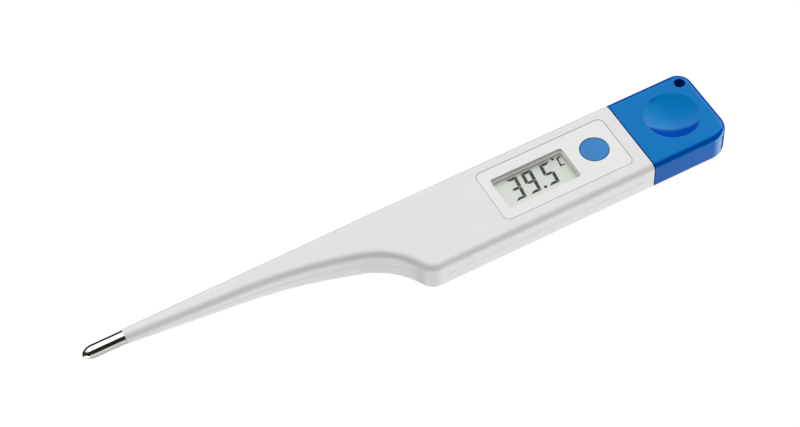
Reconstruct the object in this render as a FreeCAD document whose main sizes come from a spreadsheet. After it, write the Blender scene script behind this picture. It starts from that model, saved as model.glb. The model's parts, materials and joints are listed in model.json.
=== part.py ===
import FreeCAD, Part
import math
import os

import Sketcher
from FreeCAD import Placement, Rotation, Vector

# A pocket digital thermometer lying on its back.
# +X runs from the metal tip to the battery cap, +Y to the straight long side, +Z up.
# The sketches are measured from the middle of the battery and the display, and the finished
# pieces are moved so that the origin is the middle of the outer box, on the resting face.

doc = FreeCAD.newDocument("thermometer")
sheet = doc.addObject("Spreadsheet::Sheet", "Dims")


class Measure:
    """A length together with the spreadsheet formula that drives it."""

    def __init__(self, formula, value):
        self.formula = formula
        self.value = float(value)

    def __add__(self, other):
        other = measure(other)
        return Measure("(%s + %s)" % (self.formula, other.formula), self.value + other.value)

    def __sub__(self, other):
        other = measure(other)
        return Measure("(%s - %s)" % (self.formula, other.formula), self.value - other.value)

    def __mul__(self, factor):
        return Measure("(%s * %s)" % (self.formula, factor), self.value * factor)

    def __neg__(self):
        return self * -1


def measure(item):
    return item if isinstance(item, Measure) else Measure("%s" % item, item)


class Dimensions:
    """Holds every driving dimension under its own name."""


d = Dimensions()
row_count = 0


def dimension(alias, value, note):
    """One driving dimension in millimetres, kept in one row of the spreadsheet."""
    global row_count
    row_count += 1
    sheet.set("A%d" % row_count, note)
    sheet.set("B%d" % row_count, "%.4f" % value)
    sheet.setAlias("B%d" % row_count, alias)
    setattr(d, alias, Measure("Dims." + alias, value))


# ---- outside of the case ---------------------------------------------------------------
dimension("nose_x", -70.0, "end of the metal tip")
dimension("cap_end_x", 70.05, "end of the battery cap")
dimension("near_y", -9.83, "curved side")
dimension("far_y", 9.57, "straight side")
dimension("thickness", 7.2, "overall thickness")
dimension("top_round", 1.42, "round along the upper edges")
dimension("bottom_round", 1.25, "round along the lower edges")
dimension("split_x", 50.8, "joint between case and battery cap")
dimension("stem_end_x", -61.05, "end of the plastic stem")
dimension("shoulder_x", 0.73, "start of the shoulder on the curved side")
dimension("shoulder_radius", 3.69, "outward curve of the shoulder")
dimension("inflection_x", -2.6, "where the shoulder turns into the sweep")
dimension("sweep_radius", 15.95, "inward curve of the sweep")
dimension("sweep_end_x", -12.3, "end of the sweep")
dimension("stem_radius", 105.0, "long inward curve along the stem")
dimension("stem_tip_y", 6.55, "curved side at the end of the stem")
dimension("top_blend_x", -3.0, "where the top starts to fall towards the tip")
dimension("top_blend_radius", 260.0, "blend between level and falling top")
dimension("top_end_z", 6.42, "height of the top at the end of the stem")
dimension("base_blend_x", -9.0, "where the base starts to rise towards the tip")
dimension("base_blend_radius", 90.0, "blend between level and rising base")
dimension("base_end_z", 3.55, "height of the base at the end of the stem")
dimension("seam_z", 3.6, "height of the seam between the two shells")
dimension("seam_bend_x", -10.0, "where the seam starts to rise along the stem")
dimension("seam_gap", 0.06, "fine line left open between the two shells")

# ---- inside of the case ----------------------------------------------------------------
dimension("wall", 1.2, "wall of the case")
dimension("deck_z", 5.4, "underside of the deck below the display panel")
dimension("cavity_half_width", 8.5, "half width of the cavity")
dimension("tip_y", 8.0, "side position of the tip axis")
dimension("tip_z", 5.0, "height of the tip axis")
dimension("channel_y", 4.6, "side position of the lead channel where it meets the cavity")
dimension("channel_z", 3.7, "height of the lead channel where it meets the cavity")
dimension("channel_radius", 0.75, "lead channel through the stem")
dimension("spigot_radius", 1.14, "spigot inside the metal tip")
dimension("spigot_length", 3.5, "length of that spigot")

# ---- display panel, lens and window ----------------------------------------------------
dimension("panel_x", 32.76, "middle of the display panel")
dimension("panel_y", 0.15, "middle of the display panel")
dimension("panel_length", 30.28, "display panel, long way")
dimension("panel_width", 13.4, "display panel, short way")
dimension("panel_thick", 0.7, "display panel thickness")
dimension("panel_round", 1.35, "display panel corners")
dimension("panel_gap", 0.09, "groove around the display panel")
dimension("panel_bevel", 0.12, "softened upper edge of the display panel")
dimension("window_x", 28.23, "middle of the window")
dimension("window_length", 16.9, "window, long way")
dimension("window_width", 8.35, "window, short way")
dimension("window_round", 0.6, "window corners")
dimension("lens_lap", 1.0, "how far the lens reaches past the window")
dimension("lens_thick", 0.9, "lens thickness")
dimension("lens_gap", 0.05, "clearance around the lens")

# ---- power button ----------------------------------------------------------------------
dimension("button_x", 42.5, "middle of the power button")
dimension("button_y", 0.38, "middle of the power button")
dimension("button_radius", 3.07, "power button")
dimension("button_gap", 0.1, "clearance around the button")
dimension("button_flange_radius", 3.7, "flange that keeps the button in")
dimension("button_flange_z", 4.75, "underside of the flange")
dimension("button_flange_thick", 0.55, "flange thickness")
dimension("plunger_radius", 1.2, "plunger below the button")
dimension("plunger_z", 3.87, "end of the plunger")
dimension("dome_radius", 2.5, "metal snap dome")
dimension("dome_height", 0.62, "metal snap dome at rest")
dimension("dome_thick", 0.1, "sheet of the snap dome")

# ---- display stack and circuit board ---------------------------------------------------
dimension("board_x0", 13.6, "board end towards the tip")
dimension("board_x1", 45.8, "board end towards the battery")
dimension("board_half_width", 6.8, "half width of the board")
dimension("board_z", 2.4, "underside of the board")
dimension("board_thick", 0.8, "board thickness")
dimension("cell_x0", 18.1, "display cell end towards the tip")
dimension("cell_length", 19.5, "display cell, long way")
dimension("cell_half_width", 5.4, "display cell, half width")
dimension("cell_top_z", 5.3, "upper face of the display cell")
dimension("cell_glass", 0.6, "each of the two glass plates")
dimension("cell_ledge", 1.9, "contact ledge of the display cell")
dimension("frame_wall", 0.6, "wall of the display frame")
dimension("strip_width", 1.3, "rubber connector strip")

# ---- battery, contacts and carrier -----------------------------------------------------
dimension("battery_x", 50.4, "middle of the battery")
dimension("battery_radius", 3.95, "battery can")
dimension("battery_height", 3.6, "battery height")
dimension("battery_z", 1.5, "underside of the battery")
dimension("contact_thick", 0.18, "sheet of the battery contacts")
dimension("carrier_x0", 12.4, "carrier end towards the tip")
dimension("carrier_half_width", 8.3, "half width of the carrier")
dimension("carrier_base_z", 1.3, "underside of the carrier")
dimension("carrier_top_z", 4.3, "top of the carrier rails")
dimension("plug_x0", 46.5, "start of the tall rear block of the carrier")
dimension("collar_x1", 57.2, "end of the carrier collar")
dimension("collar_top_z", 5.3, "top of the collar")
dimension("collar_round", 1.0, "round of the collar")
dimension("seal_x0", 55.1, "start of the seal groove")
dimension("seal_width", 1.2, "width of the seal")
dimension("seal_depth", 0.45, "depth of the seal groove")

# ---- battery cap -----------------------------------------------------------------------
dimension("cap_gap", 0.12, "visible gap between case and cap")
dimension("cap_corner", 3.3, "plan corner of the cap at the straight side")
dimension("cap_near_corner", 4.6, "plan corner of the cap at the curved side")
dimension("socket_x1", 57.5, "depth of the socket for the collar")
dimension("socket_half_width", 8.5, "half width of the socket")
dimension("socket_z0", 1.15, "floor of the socket")
dimension("socket_z1", 5.45, "ceiling of the socket")
dimension("cap_core_x1", 64.5, "end of the hollow behind the socket")
dimension("cap_core_half_width", 5.6, "half width of that hollow")
dimension("cap_core_z1", 4.9, "ceiling of that hollow")
dimension("dimple_x", 61.2, "middle of the thumb dimple")
dimension("dimple_radius", 6.0, "rim of the thumb dimple")
dimension("dimple_depth", 1.15, "depth of the thumb dimple")
dimension("lanyard_x", 67.26, "lanyard hole")
dimension("lanyard_y", 6.58, "lanyard hole")
dimension("lanyard_radius", 1.2, "lanyard hole")

# ---- tip and sensor --------------------------------------------------------------------
dimension("tip_radius", 1.39, "metal tip")
dimension("tip_sheet", 0.2, "sheet of the metal tip")
dimension("tip_side_radius", 3.2, "long curve of the tip nose")
dimension("tip_nose_radius", 0.8, "small curve at the end of the nose")
dimension("bead_radius", 0.55, "sensor bead")
dimension("bead_length", 1.9, "sensor bead")
dimension("lead_radius", 0.16, "insulated sensor lead")
dimension("lead_pitch", 0.5, "distance between the two leads")

# ---- buzzer ----------------------------------------------------------------------------
dimension("buzzer_x", 5.8, "middle of the buzzer")
dimension("buzzer_radius", 4.8, "brass plate of the buzzer")
dimension("buzzer_thick", 0.25, "brass plate of the buzzer")
dimension("ceramic_radius", 3.5, "ceramic of the buzzer")
dimension("ceramic_thick", 0.2, "ceramic of the buzzer")

doc.recompute()


# ---- small helpers ---------------------------------------------------------------------
def new_body(name):
    body = doc.addObject("PartDesign::Body", name)
    body.Label = name
    return body


def new_sketch(body, name, role="XY_Plane", offset=0):
    """An empty sketch on one of the body's own planes, lifted along that plane's normal."""
    plane = [item for item in body.Origin.OriginFeatures if item.Role == role][0]
    sketch = body.newObject("Sketcher::SketchObject", name)
    sketch.AttachmentSupport = (plane, [""])
    sketch.MapMode = "FlatFace"
    sketch.setExpression("AttachmentOffset.Base.z", measure(offset).formula)
    doc.recompute()
    return sketch


def hold(sketch, kind, references, amount):
    """Add a driving constraint whose value follows the spreadsheet."""
    amount = measure(amount)
    number = sketch.addConstraint(Sketcher.Constraint(kind, *references, amount.value))
    sketch.setExpression("Constraints[%d]" % number, amount.formula)


def pin(sketch, geometry, point, x, y):
    """Hold one point of a sketch at x and y from the sketch origin."""
    hold(sketch, "DistanceX", (-1, 1, geometry, point), x)
    hold(sketch, "DistanceY", (-1, 1, geometry, point), y)


def tie(sketch, kind, first, first_point, second, second_point):
    sketch.addConstraint(Sketcher.Constraint(kind, first, first_point, second, second_point))


def line_loop(sketch, corners):
    """A closed loop of straight lines through the given corners."""
    corners = [(measure(x), measure(y)) for x, y in corners]
    points = [Vector(x.value, y.value, 0) for x, y in corners]
    first = sketch.GeometryCount
    count = len(points)
    for index in range(count):
        side = Part.LineSegment(points[index], points[(index + 1) % count])
        sketch.addGeometry(side, False)
    for index in range(count):
        tie(sketch, "Coincident", first + index, 2, first + (index + 1) % count, 1)
    for index, (x, y) in enumerate(corners):
        pin(sketch, first + index, 1, x, y)


def box_loop(sketch, x0, y0, x1, y1):
    line_loop(sketch, [(x0, y0), (x1, y0), (x1, y1), (x0, y1)])


def circle(sketch, x, y, radius):
    x, y, radius = measure(x), measure(y), measure(radius)
    ring = Part.Circle(Vector(x.value, y.value, 0), Vector(0, 0, 1), radius.value)
    number = sketch.addGeometry(ring, False)
    hold(sketch, "Radius", (number,), radius)
    pin(sketch, number, 3, x, y)


def soft_box_loop(sketch, x0, y0, x1, y1, radius):
    """A rectangle with four equal round corners."""
    x0, y0, x1, y1, radius = [measure(item) for item in (x0, y0, x1, y1, radius)]
    left, low, right, high = x0.value, y0.value, x1.value, y1.value
    r = radius.value
    first = sketch.GeometryCount
    sides = [(left + r, low, right - r, low), (right, low + r, right, high - r)]
    sides += [(right - r, high, left + r, high), (left, high - r, left, low + r)]
    for a, b, c, e in sides:
        sketch.addGeometry(Part.LineSegment(Vector(a, b, 0), Vector(c, e, 0)), False)
    middles = [(right - r, low + r, -90), (right - r, high - r, 0)]
    middles += [(left + r, high - r, 90), (left + r, low + r, 180)]
    for x, y, angle in middles:
        ring = Part.Circle(Vector(x, y, 0), Vector(0, 0, 1), r)
        arc = Part.ArcOfCircle(ring, math.radians(angle), math.radians(angle + 90))
        sketch.addGeometry(arc, False)
    for side in range(4):
        tie(sketch, "Tangent", first + side, 2, first + 4 + side, 1)
        tie(sketch, "Tangent", first + 4 + side, 2, first + (side + 1) % 4, 1)
    for side in range(1, 4):
        sketch.addConstraint(Sketcher.Constraint("Equal", first + 4, first + 4 + side))
    hold(sketch, "Radius", (first + 4,), radius)
    sketch.addConstraint(Sketcher.Constraint("Horizontal", first))
    sketch.addConstraint(Sketcher.Constraint("Vertical", first + 1))
    hold(sketch, "DistanceY", (-1, 1, first, 1), y0)
    hold(sketch, "DistanceX", (-1, 1, first + 1, 1), x1)
    hold(sketch, "DistanceY", (-1, 1, first + 2, 1), y1)
    hold(sketch, "DistanceX", (-1, 1, first + 3, 1), x0)


def pad(body, sketch, length, backwards=False, both_ways=False):
    feature = body.newObject("PartDesign::Pad", sketch.Name + "_pad")
    feature.Profile = sketch
    feature.setExpression("Length", measure(length).formula)
    feature.Reversed = backwards
    feature.Midplane = both_ways
    sketch.Visibility = False
    doc.recompute()
    return feature


def pocket(body, sketch, length, backwards=False, both_ways=False):
    """Cut a sketch out of the body and make sure that something really went away."""
    before = body.Shape.Volume
    feature = body.newObject("PartDesign::Pocket", sketch.Name + "_pocket")
    feature.Profile = sketch
    feature.setExpression("Length", measure(length).formula)
    feature.Reversed = backwards
    feature.Midplane = both_ways
    sketch.Visibility = False
    doc.recompute()
    if not body.Shape.Volume < before - 1e-4:
        raise RuntimeError("pocket %s removes nothing" % sketch.Name)
    return feature


def turn(body, sketch, axis="V_Axis", remove=False):
    """Revolve a sketch a full turn about one of its own axes."""
    before = body.Shape.Volume if remove else 0.0
    kind = "PartDesign::Groove" if remove else "PartDesign::Revolution"
    feature = body.newObject(kind, sketch.Name + "_turn")
    feature.Profile = sketch
    feature.ReferenceAxis = (sketch, [axis])
    feature.Angle = 360.0
    sketch.Visibility = False
    doc.recompute()
    if remove and not body.Shape.Volume < before - 1e-4:
        raise RuntimeError("groove %s removes nothing" % sketch.Name)
    return feature


def soften(body, wanted, radius, name, kind="Fillet"):
    """Round (or bevel) those edges of the body's last feature that the test picks."""
    base = body.Tip
    edges = enumerate(base.Shape.Edges)
    names = ["Edge%d" % (number + 1) for number, edge in edges if wanted(edge)]
    if not names:
        raise RuntimeError("no edges for " + name)
    feature = body.newObject("PartDesign::" + kind, name)
    feature.Base = (base, names)
    size_name = "Radius" if kind == "Fillet" else "Size"
    feature.setExpression(size_name, measure(radius).formula)
    doc.recompute()
    if not feature.isValid():
        raise RuntimeError("could not soften " + name)
    return feature


def upright(edge):
    """True for a straight edge that runs along Z."""
    box = edge.BoundBox
    return box.ZLength > 1e-3 and box.XLength < 1e-4 and box.YLength < 1e-4


def level_at(edge, z):
    box = edge.BoundBox
    return abs(box.ZMin - z) < 1e-3 and abs(box.ZMax - z) < 1e-3


# ---- outer blank shared by the two shells ----------------------------------------------
def square_to(angle):
    """Unit vector square to a path that leaves towards -X and has turned by an angle to +Y."""
    return Vector(math.sin(angle), math.cos(angle), 0)


def arc_between(centre, radius, a, b):
    """The arc about a centre that runs counter-clockwise from a to b."""
    first = math.atan2(a.y - centre.y, a.x - centre.x)
    last = math.atan2(b.y - centre.y, b.x - centre.x)
    if last < first:
        last += 2 * math.pi
    return Part.ArcOfCircle(Part.Circle(centre, Vector(0, 0, 1), radius), first, last)


def plan_outline(sketch):
    """Plan view of the case: straight far side, S-shaped near side made of tangent arcs."""
    r1, r2, r3 = d.shoulder_radius.value, d.sweep_radius.value, d.stem_radius.value
    near_y, far_y = d.near_y.value, d.far_y.value
    start = Vector(d.shoulder_x.value, near_y, 0)
    turn1 = math.asin((d.shoulder_x.value - d.inflection_x.value) / r1)
    centre1 = start + square_to(0.0) * r1
    joint1 = centre1 - square_to(turn1) * r1
    centre2 = joint1 - square_to(turn1) * r2
    turn2 = math.asin((d.sweep_end_x.value - centre2.x) / r2)
    joint2 = centre2 + square_to(turn2) * r2
    centre3 = joint2 - square_to(turn2) * r3
    end = Vector(d.stem_end_x.value, d.stem_tip_y.value, 0)
    reach = end - centre3
    turn3 = math.atan2(reach.x, reach.y) + math.acos(r3 / reach.Length)
    joint3 = centre3 + square_to(turn3) * r3
    rear_near = Vector(d.split_x.value, near_y, 0)
    rear_far = Vector(d.split_x.value, far_y, 0)
    tip_far = Vector(d.stem_end_x.value, far_y, 0)
    pieces = [
        Part.LineSegment(rear_near, start),
        arc_between(centre1, r1, joint1, start),
        arc_between(centre2, r2, joint1, joint2),
        arc_between(centre3, r3, joint2, joint3),
        Part.LineSegment(joint3, end),
        Part.LineSegment(end, tip_far),
        Part.LineSegment(tip_far, rear_far),
        Part.LineSegment(rear_far, rear_near),
    ]
    near, shoulder, sweep, stem, stem_line, tip_end, far, rear = range(8)
    for piece in pieces:
        sketch.addGeometry(piece, False)
    tie(sketch, "Tangent", near, 2, shoulder, 2)
    tie(sketch, "Tangent", shoulder, 1, sweep, 1)
    tie(sketch, "Tangent", sweep, 2, stem, 1)
    tie(sketch, "Tangent", stem, 2, stem_line, 1)
    tie(sketch, "Coincident", stem_line, 2, tip_end, 1)
    tie(sketch, "Coincident", tip_end, 2, far, 1)
    tie(sketch, "Coincident", far, 2, rear, 1)
    tie(sketch, "Coincident", rear, 2, near, 1)
    for level_line in (near, far):
        sketch.addConstraint(Sketcher.Constraint("Horizontal", level_line))
    for upright_line in (tip_end, rear):
        sketch.addConstraint(Sketcher.Constraint("Vertical", upright_line))
    pin(sketch, near, 1, d.split_x, d.near_y)
    pin(sketch, stem_line, 2, d.stem_end_x, d.stem_tip_y)
    hold(sketch, "DistanceX", (-1, 1, shoulder, 2), d.shoulder_x)
    hold(sketch, "DistanceX", (-1, 1, sweep, 1), d.inflection_x)
    hold(sketch, "DistanceX", (-1, 1, stem, 1), d.sweep_end_x)
    hold(sketch, "DistanceY", (-1, 1, far, 1), d.far_y)
    hold(sketch, "Radius", (shoulder,), d.shoulder_radius)
    hold(sketch, "Radius", (sweep,), d.sweep_radius)
    hold(sketch, "Radius", (stem,), d.stem_radius)


def side_wedge(sketch, blend_x, level, radius, end_z, side):
    """Side view of the wedge above (side 1) or below (side -1) the tapering stem."""
    bend = Vector(blend_x.value, level.value, 0)
    centre = bend - Vector(0, side * radius.value, 0)
    end = Vector(d.stem_end_x.value - 1.0, end_z.value, 0)
    reach = end - centre
    angle = math.atan2(-reach.x, side * reach.y) - math.acos(radius.value / reach.Length)
    joint = centre + Vector(-math.sin(angle), side * math.cos(angle), 0) * radius.value
    outer_z = level.value + side * 3.0
    corner = Vector(end.x, outer_z, 0)
    rear = Vector(bend.x, outer_z, 0)
    start, finish = (bend, joint) if side > 0 else (joint, bend)
    sketch.addGeometry(arc_between(centre, radius.value, start, finish), False)
    corners = [joint, end, corner, rear, bend]
    for a, b in zip(corners[:-1], corners[1:]):
        sketch.addGeometry(Part.LineSegment(a, b), False)
    at_joint, at_bend = (2, 1) if side > 0 else (1, 2)
    tie(sketch, "Tangent", 0, at_joint, 1, 1)
    for line in (1, 2, 3):
        tie(sketch, "Coincident", line, 2, line + 1, 1)
    tie(sketch, "Coincident", 4, 2, 0, at_bend)
    for line, kind in ((2, "Vertical"), (3, "Horizontal"), (4, "Vertical")):
        sketch.addConstraint(Sketcher.Constraint(kind, line))
    pin(sketch, 1, 2, d.stem_end_x - 1.0, end_z)
    hold(sketch, "DistanceY", (-1, 1, 3, 1), level + side * 3.0)
    pin(sketch, 4, 2, blend_x, level)
    hold(sketch, "Radius", (0,), radius)
    hold(sketch, "DistanceX", (-1, 1, 0, 3), blend_x)


def along(edge):
    """True for an edge that makes way along X, so neither upright nor straight across."""
    return edge.BoundBox.XLength > 1e-3


def bored(body, name, radius, start, end):
    """Drill a round hole from one point to another through the body."""
    reach = end - start
    tool = body.newObject("PartDesign::SubtractiveCylinder", name)
    tool.setExpression("Radius", measure(radius).formula)
    tool.Height = reach.Length
    tool.Placement = Placement(start, Rotation(Vector(0, 0, 1), reach))
    doc.recompute()
    return tool


def shell(name, upper):
    """One half of the case: the tapering blank, the tip spigot, then the other half cut off."""
    body = new_body(name)
    outline = new_sketch(body, name + "_outline")
    plan_outline(outline)
    pad(body, outline, d.thickness)
    span = d.far_y - d.near_y + 2.0
    top = new_sketch(body, name + "_top_fall", "XZ_Plane")
    side_wedge(top, d.top_blend_x, d.thickness, d.top_blend_radius, d.top_end_z, 1)
    pocket(body, top, span, both_ways=True)
    base = new_sketch(body, name + "_base_rise", "XZ_Plane")
    zero = measure(0)
    side_wedge(base, d.base_blend_x, zero, d.base_blend_radius, d.base_end_z, -1)
    pocket(body, base, span, both_ways=True)
    soften(body, lambda e: along(e) and e.CenterOfMass.z > 6.4, d.top_round, name + "_top")
    soften(body, lambda e: along(e) and e.CenterOfMass.z < 4.2, d.bottom_round, name + "_base")
    spigot = new_sketch(body, name + "_spigot", "YZ_Plane", d.stem_end_x + 0.5)
    circle(spigot, d.tip_y, d.tip_z, d.spigot_radius)
    pad(body, spigot, d.spigot_length + 0.5, backwards=True)
    half = new_sketch(body, name + "_other_half", "XZ_Plane")
    away = measure(-5) if upper else measure(15)
    lift = d.seam_gap * (0.5 if upper else -0.5)
    body_z, tip_z = d.seam_z + lift, d.tip_z + lift
    seam = [(measure(60), body_z), (d.seam_bend_x, body_z), (d.stem_end_x, tip_z)]
    seam += [(measure(-75), tip_z), (measure(-75), away), (measure(60), away)]
    line_loop(half, seam)
    pocket(body, half, span, both_ways=True)
    return body


def cavity(body, name, z0, height):
    """Hollow one shell from the seam: the wide bay that follows the curved side."""
    bay = new_sketch(body, name, "XY_Plane", z0)
    wide = d.cavity_half_width
    near = [(d.shoulder_x + 0.3, -wide), (d.shoulder_x - 1.7, -wide + 0.8)]
    near += [(measure(-2.0), measure(-6.0)), (measure(-3.8), measure(-3.3))]
    near += [(measure(-7.0), measure(-0.4)), (measure(-10.8), measure(1.6))]
    rear = d.split_x + 1.0
    line_loop(bay, [(rear, -wide)] + near + [(measure(-10.8), wide), (rear, wide)])
    pocket(body, bay, height, backwards=True)


def lead_channel(body, name):
    """The round way for the sensor leads, slanting up the stem into a wider bore in the spigot."""
    stem = Vector(d.stem_end_x.value, d.tip_y.value, d.tip_z.value)
    inner = Vector(d.seam_bend_x.value, d.channel_y.value, d.channel_z.value)
    lean = (inner - stem).normalize()
    bored(body, name + "_channel", d.channel_radius, stem, inner + lean * 1.0)
    outer = stem - Vector(d.spigot_length.value + 1.0, 0, 0)
    bored(body, name + "_tip_bore", d.channel_radius + 0.1, outer, stem + Vector(0.5, 0, 0))


pin_places = [(2.8, 7.0), (2.8, -7.0)]

# ---- the two shells --------------------------------------------------------------------
upper = shell("upper_case", True)
cavity(upper, "upper_bay", d.seam_z - 0.5, d.deck_z - d.seam_z + 0.5)
for number, (x, y) in enumerate(pin_places):
    boss = new_sketch(upper, "upper_boss_%d" % number, "XY_Plane", d.seam_z)
    circle(boss, x, y, 1.1)
    pad(upper, boss, d.deck_z - d.seam_z + 0.1)
    hole = new_sketch(upper, "upper_pin_hole_%d" % number, "XY_Plane", d.seam_z)
    circle(hole, x, y, 0.56)
    pocket(upper, hole, 1.1, backwards=True)
panel_x0 = d.panel_x - d.panel_length * 0.5
panel_x1 = d.panel_x + d.panel_length * 0.5
panel_y0 = d.panel_y - d.panel_width * 0.5
panel_y1 = d.panel_y + d.panel_width * 0.5
gap = d.panel_gap
recess = new_sketch(upper, "panel_recess", "XY_Plane", d.thickness)
soft_box_loop(recess, panel_x0 - gap, panel_y0 - gap, panel_x1 + gap, panel_y1 + gap,
              d.panel_round + gap)
pocket(upper, recess, d.panel_thick)
window_x0 = d.window_x - d.window_length * 0.5
window_x1 = d.window_x + d.window_length * 0.5
window_y1 = d.window_width * 0.5
lens_x0 = window_x0 - d.lens_lap
lens_x1 = window_x1 + d.lens_lap
lens_y1 = window_y1 + d.lens_lap
gap = d.lens_gap
rebate = new_sketch(upper, "lens_rebate", "XY_Plane", d.thickness - d.panel_thick)
soft_box_loop(rebate, lens_x0 - gap, -lens_y1 - gap, lens_x1 + gap, lens_y1 + gap,
              d.window_round + gap)
pocket(upper, rebate, d.lens_thick)
opening = new_sketch(upper, "display_opening", "XY_Plane", d.thickness)
soft_box_loop(opening, window_x0, -window_y1, window_x1, window_y1, d.window_round)
pocket(upper, opening, 3.0)
button_hole = new_sketch(upper, "button_hole", "XY_Plane", d.thickness)
circle(button_hole, d.button_x, d.button_y, d.button_radius + d.button_gap)
pocket(upper, button_hole, 3.0)
lead_channel(upper, "upper")

lower = shell("lower_case", False)
cavity(lower, "lower_bay", d.wall, 4.0)
seat = new_sketch(lower, "buzzer_seat", "XY_Plane", d.wall - 0.1)
circle(seat, d.buzzer_x, 0, d.buzzer_radius + 0.7)
circle(seat, d.buzzer_x, 0, d.buzzer_radius + 0.1)
pad(lower, seat, 0.7)
for number, (x, y) in enumerate(pin_places):
    boss = new_sketch(lower, "lower_boss_%d" % number, "XY_Plane", d.wall - 0.1)
    circle(boss, x, y, 1.1)
    pad(lower, boss, d.seam_z - d.wall + 0.1)
    tip = new_sketch(lower, "locating_pin_%d" % number, "XY_Plane", d.seam_z - 0.1)
    circle(tip, x, y, 0.5)
    pad(lower, tip, 1.0)
lead_channel(lower, "lower")

# ---- display panel, lens and display cell ----------------------------------------------
panel = new_body("display_panel")
plate = new_sketch(panel, "panel_plate", "XY_Plane", d.thickness - d.panel_thick)
soft_box_loop(plate, panel_x0, panel_y0, panel_x1, panel_y1, d.panel_round)
pad(panel, plate, d.panel_thick)
soften(panel, lambda e: level_at(e, d.thickness.value), d.panel_bevel, "panel_edge")
opening = new_sketch(panel, "panel_window", "XY_Plane", d.thickness)
soft_box_loop(opening, window_x0, -window_y1, window_x1, window_y1, d.window_round)
pocket(panel, opening, d.panel_thick)
button_hole = new_sketch(panel, "panel_button_hole", "XY_Plane", d.thickness)
circle(button_hole, d.button_x, d.button_y, d.button_radius + d.button_gap)
pocket(panel, button_hole, d.panel_thick)

lens = new_body("display_lens")
plate = new_sketch(lens, "lens_plate", "XY_Plane", d.thickness - d.panel_thick - d.lens_thick)
soft_box_loop(plate, lens_x0, -lens_y1, lens_x1, lens_y1, d.window_round)
pad(lens, plate, d.lens_thick)

cell = new_body("lcd_cell")
cell_x1 = d.cell_x0 + d.cell_length
glass_z = d.cell_top_z - d.cell_glass
front_glass = new_sketch(cell, "front_glass", "XY_Plane", glass_z)
box_loop(front_glass, d.cell_x0, -d.cell_half_width, cell_x1, d.cell_half_width)
pad(cell, front_glass, d.cell_glass)
rear_glass = new_sketch(cell, "rear_glass", "XY_Plane", glass_z)
ledge_y = d.cell_half_width - d.cell_ledge
box_loop(rear_glass, d.cell_x0, -d.cell_half_width, cell_x1, ledge_y)
pad(cell, rear_glass, d.cell_glass, backwards=True)

reflector = new_body("lcd_reflector")
foil = new_sketch(reflector, "reflector_foil", "XY_Plane", glass_z - d.cell_glass)
soft_box_loop(foil, d.cell_x0 + 0.1, -d.cell_half_width + 0.1, cell_x1 - 0.1, ledge_y - 0.1, 0.4)
pad(reflector, foil, 0.1, backwards=True)

board_top = d.board_z + d.board_thick
strip = new_body("zebra_strip")
bar = new_sketch(strip, "strip_bar", "XY_Plane", board_top)
strip_y0 = ledge_y + 0.25
soft_box_loop(bar, d.cell_x0 + 0.5, strip_y0, cell_x1 - 0.5, strip_y0 + d.strip_width, 0.15)
pad(strip, bar, glass_z - board_top)

frame = new_body("lcd_frame")
ring = new_sketch(frame, "frame_ring", "XY_Plane", board_top)
wall = d.frame_wall
soft_box_loop(ring, d.cell_x0 - wall - 0.1, -d.cell_half_width - wall - 0.1,
              cell_x1 + wall + 0.1, d.cell_half_width + wall + 0.1, 0.6)
soft_box_loop(ring, d.cell_x0 - 0.06, -d.cell_half_width - 0.06, cell_x1 + 0.06,
              d.cell_half_width + 0.06, 0.05)
pad(frame, ring, d.cell_top_z - board_top)
rest = new_sketch(frame, "frame_rest", "XY_Plane", board_top)
box_loop(rest, d.cell_x0 - 0.3, -d.cell_half_width - 0.3, cell_x1 + 0.3, -d.cell_half_width + 0.7)
pad(frame, rest, glass_z - d.cell_glass - board_top - 0.1)

# ---- circuit board and what sits on it -------------------------------------------------
board = new_body("circuit_board")
plate = new_sketch(board, "board_plate", "XY_Plane", d.board_z)
soft_box_loop(plate, d.board_x0, -d.board_half_width, d.board_x1, d.board_half_width, 0.5)
pad(board, plate, d.board_thick)
holes = new_sketch(board, "board_holes", "XY_Plane", board_top)
for x, y in ((20.0, 6.4), (36.0, 6.4), (20.0, -6.4), (36.0, -6.4), (16.4, -3.0), (16.4, -4.4)):
    circle(holes, x, y, 0.2)
pocket(board, holes, d.board_thick)

blob = new_body("controller_blob")
cross = new_sketch(blob, "blob_profile", "XZ_Plane")
drop, spread = 0.85, 3.0
ball = (spread * spread + drop * drop) / (2 * drop)
middle = Vector(0, ball - drop, 0)
low_point, rim_point = Vector(0, -drop, 0), Vector(spread, 0, 0)
cross.addGeometry(arc_between(middle, ball, low_point, rim_point), False)
cross.addGeometry(Part.LineSegment(rim_point, Vector(0, 0, 0)), False)
cross.addGeometry(Part.LineSegment(Vector(0, 0, 0), low_point), False)
tie(cross, "Coincident", 0, 2, 1, 1)
tie(cross, "Coincident", 1, 2, 2, 1)
tie(cross, "Coincident", 2, 2, 0, 1)
tie(cross, "Coincident", 1, 2, -1, 1)
pin(cross, 0, 1, 0, -drop)
pin(cross, 0, 2, spread, 0)
hold(cross, "Radius", (0,), ball)
turn(blob, cross)
blob.Placement = Placement(Vector(27.0, -0.5, d.board_z.value), Rotation())

chips = doc.addObject("Part::Compound", "chip_parts")
chips.Label = "chip_parts"
chip_boxes = []
for number, (x, y, long_x, long_y, deep) in enumerate((
        (18.0, 3.2, 1.6, 0.8, 0.55), (18.0, 1.4, 1.6, 0.8, 0.55), (33.5, 3.0, 0.8, 1.6, 0.55),
        (35.4, 3.0, 0.8, 1.6, 0.55), (34.0, -3.0, 2.0, 1.25, 0.9), (39.0, 2.4, 1.6, 0.8, 0.5),
        (39.0, -2.4, 1.6, 0.8, 0.5), (20.8, -3.6, 2.9, 1.5, 0.95))):
    chip = doc.addObject("Part::Box", "chip_%d" % number)
    chip.Length, chip.Width, chip.Height = long_x, long_y, deep
    chip.Placement.Base = Vector(x, y, d.board_z.value - deep)
    chip.Visibility = False
    chip_boxes.append(chip)
chips.Links = chip_boxes

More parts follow.
